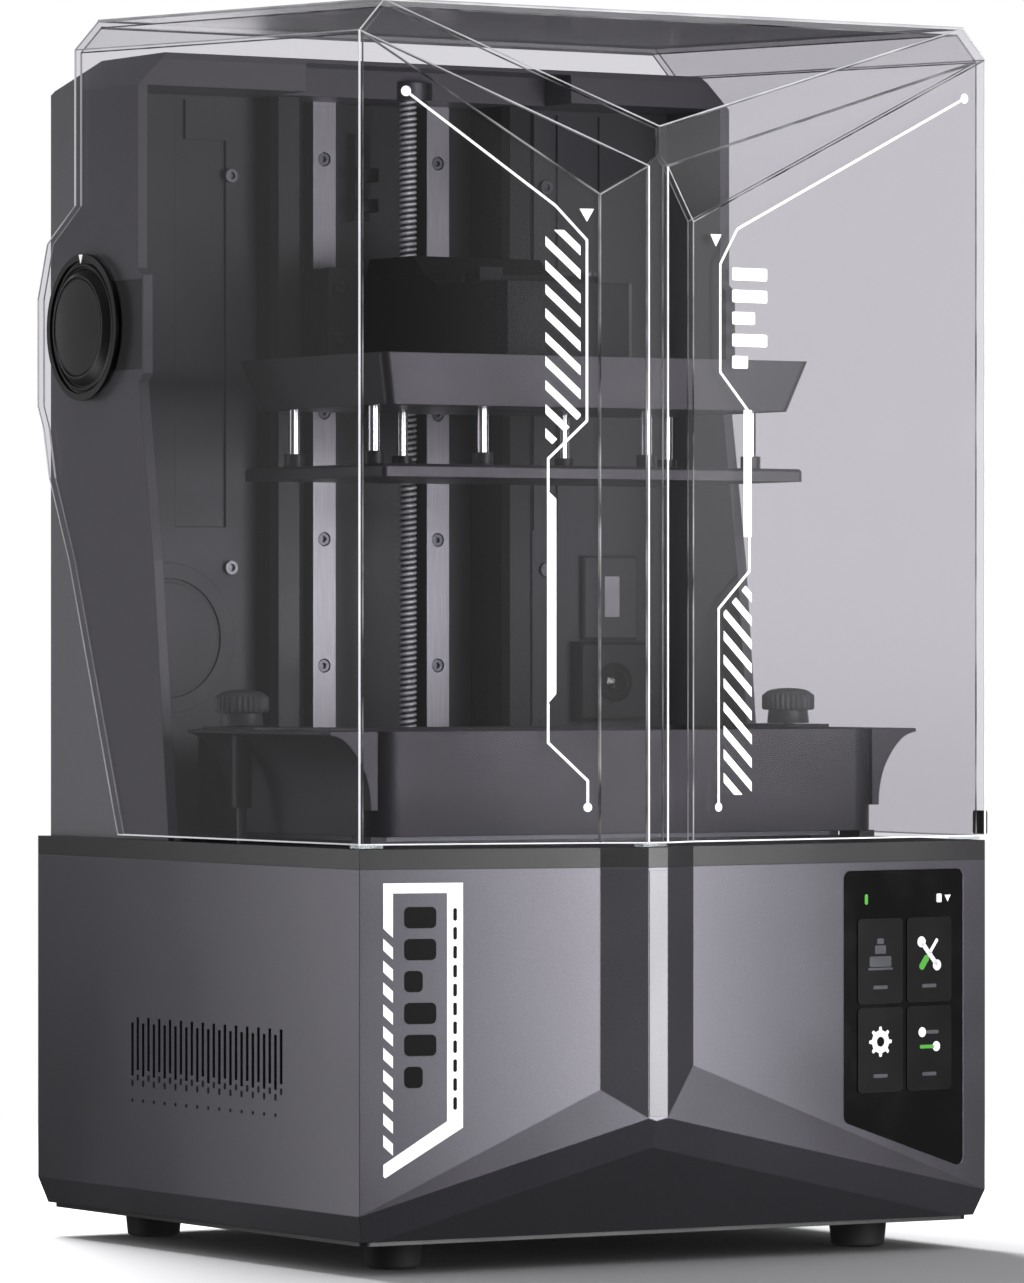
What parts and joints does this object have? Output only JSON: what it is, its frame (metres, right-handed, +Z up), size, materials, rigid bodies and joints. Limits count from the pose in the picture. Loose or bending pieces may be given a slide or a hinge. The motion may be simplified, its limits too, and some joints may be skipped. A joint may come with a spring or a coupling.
{
  "type": "resin printer",
  "caption": "Desktop resin 3D printer: faceted grey base with touch screen, clear flip-up lid, rear tower with lead screw, build platform, tilting resin vat.",
  "frame": {"origin": "centre of the footprint box, on the surface the rubber feet stand on", "axes": "+Z up, -Y towards the front ridge and screen, +X to the right seen from the front"},
  "size_m": [0.3306, 0.3232, 0.548],
  "materials": {
    "arm_black": "black anodised casting",
    "black_deck": "black ABS, fine spark-eroded grain",
    "board_green": "solder mask",
    "bolt_steel": "steel socket-head screws",
    "clear_smoke": "clear grey-tinted acrylic with polished edges",
    "column_black": "black anodised frame",
    "dark_disc": "black, satin moulded disc",
    "film_clear": "clear release film",
    "filter_fibre": "activated carbon filter",
    "glass_clear": "clear glass",
    "grey_housing": "fine matt powder coat, warm mid grey",
    "knob_grey": "moulded knobs",
    "liner_grey": "moulded ABS, satin",
    "pin_chrome": "polished guide pins",
    "platform_grey": "grey anodised aluminium",
    "rail_steel": "ground steel rail",
    "rubber_black": "moulded rubber feet",
    "screen_black": "black cover glass",
    "screw_steel": "rolled steel thread",
    "sink_aluminium": "extruded aluminium",
    "socket_metal": "plated steel",
    "tower_grey": "moulded ABS, mid grey, satin",
    "vat_grey": "grey anodised aluminium, bead blasted"
  },
  "bodies": {
    "housing": {"base_shell": "grey_housing", "bottom_pan": "black_deck", "feet": "rubber_black", "deck_plate": "black_deck", "screen_glass": "screen_black", "screen_module": "black_deck", "io_panel": "black_deck", "power_socket": "black_deck", "usb_port": "socket_metal", "mainboard": "board_green", "fan_housing": "black_deck", "heat_sink": "sink_aluminium", "led_array": "board_green", "light_hood": "sink_aluminium", "collimator_lens": "glass_clear", "tilt_brackets": "bolt_steel", "tilt_actuator": "column_black", "tower_shell": "tower_grey", "hinge_brackets": "column_black", "hinge_pins": "bolt_steel", "tower_liner": "liner_grey", "filter_cover": "liner_grey", "air_filter": "filter_fibre", "liner_screws": "bolt_steel", "z_column": "column_black", "column_header": "tower_grey", "screw_bearing": "bolt_steel", "z_rails": "rail_steel", "rail_screws": "bolt_steel", "z_motor": "column_black", "limit_sensor": "column_black", "camera_housing": "column_black", "camera_lens": "screen_black", "light_window": "liner_grey"},
    "lid": {"lid_shell": "clear_smoke", "hinge_rings": "dark_disc", "hinge_discs": "dark_disc", "lid_bumpers": "clear_smoke"},
    "z_carriage": {"carriage_blocks": "bolt_steel", "carriage_plate": "platform_grey", "carriage_screws": "bolt_steel", "lead_nut": "column_black", "arm": "arm_black", "arm_cap": "arm_black", "lever_pin": "bolt_steel", "platform_body": "platform_grey", "guide_pins": "pin_chrome"},
    "plate": {"build_plate": "platform_grey"},
    "lever": {"release_lever": "bolt_steel"},
    "z_screw": {"lead_screw": "screw_steel"},
    "tilt_bed": {"tilt_plate": "black_deck", "lcd_panel": "screen_black", "film_frame": "bolt_steel", "release_film": "film_clear", "vat_body": "vat_grey"},
    "pusher": {"tilt_pusher": "bolt_steel"},
    "knob_left": {"vat_knob_left": "knob_grey"},
    "knob_right": {"vat_knob_right": "knob_grey"},
    "rocker": {"power_rocker": "dark_disc"},
    "fan": {"fan_rotor": "black_deck"}
  },
  "joints": [
    {"name": "lid_hinge", "type": "hinge", "parent": "housing", "child": "lid", "pos_m": [0, 0.1173, 0.4094], "axis": [-1, 0, 0], "range_deg": [0, 85]},
    {"name": "z_slide", "type": "slide", "parent": "housing", "child": "z_carriage", "axis": [0, 0, 1], "range_m": [-0.153, 0.066]},
    {"name": "screw_spin", "type": "hinge", "parent": "housing", "child": "z_screw", "pos_m": [0, 0.103, 0.3], "axis": [0, 0, 1], "range_deg": [-5950, 13780]},
    {"name": "plate_level", "type": "slide", "parent": "z_carriage", "child": "plate", "axis": [0, 0, 1], "range_m": [0, 0.003], "stiffness_N_per_m": 2500, "springref_m": -0.003},
    {"name": "lever_swing", "type": "hinge", "parent": "z_carriage", "child": "lever", "pos_m": [0.0275, -0.006, 0.428], "axis": [0, 0, 1], "range_deg": [0, 70]},
    {"name": "vat_tilt", "type": "hinge", "parent": "housing", "child": "tilt_bed", "pos_m": [0, 0.07, 0.1665], "axis": [1, 0, 0], "range_deg": [0, 2]},
    {"name": "pusher_slide", "type": "slide", "parent": "housing", "child": "pusher", "axis": [0, 0, -1], "range_m": [0, 0.0056]},
    {"name": "knob_left_turn", "type": "hinge", "parent": "tilt_bed", "child": "knob_left", "pos_m": [-0.143, 0.0036, 0.23], "axis": [0, 0, 1], "range_deg": [0, 720]},
    {"name": "knob_right_turn", "type": "hinge", "parent": "tilt_bed", "child": "knob_right", "pos_m": [0.143, 0.0036, 0.23], "axis": [0, 0, 1], "range_deg": [0, 720]},
    {"name": "rocker_tilt", "type": "hinge", "parent": "housing", "child": "rocker", "pos_m": [0.032, 0.1576, 0.074], "axis": [1, 0, 0], "range_deg": [0, 9]},
    {"name": "fan_spin", "type": "hinge", "parent": "housing", "child": "fan", "pos_m": [-0.145, 0.005, 0.09], "axis": [1, 0, 0], "continuous": true}
  ],
  "couplings": [
    {"joint": "screw_spin", "follows": "z_slide", "rad_per_m": -1570.8},
    {"joint": "pusher_slide", "follows": "vat_tilt", "m_per_rad": 0.154}
  ]
}
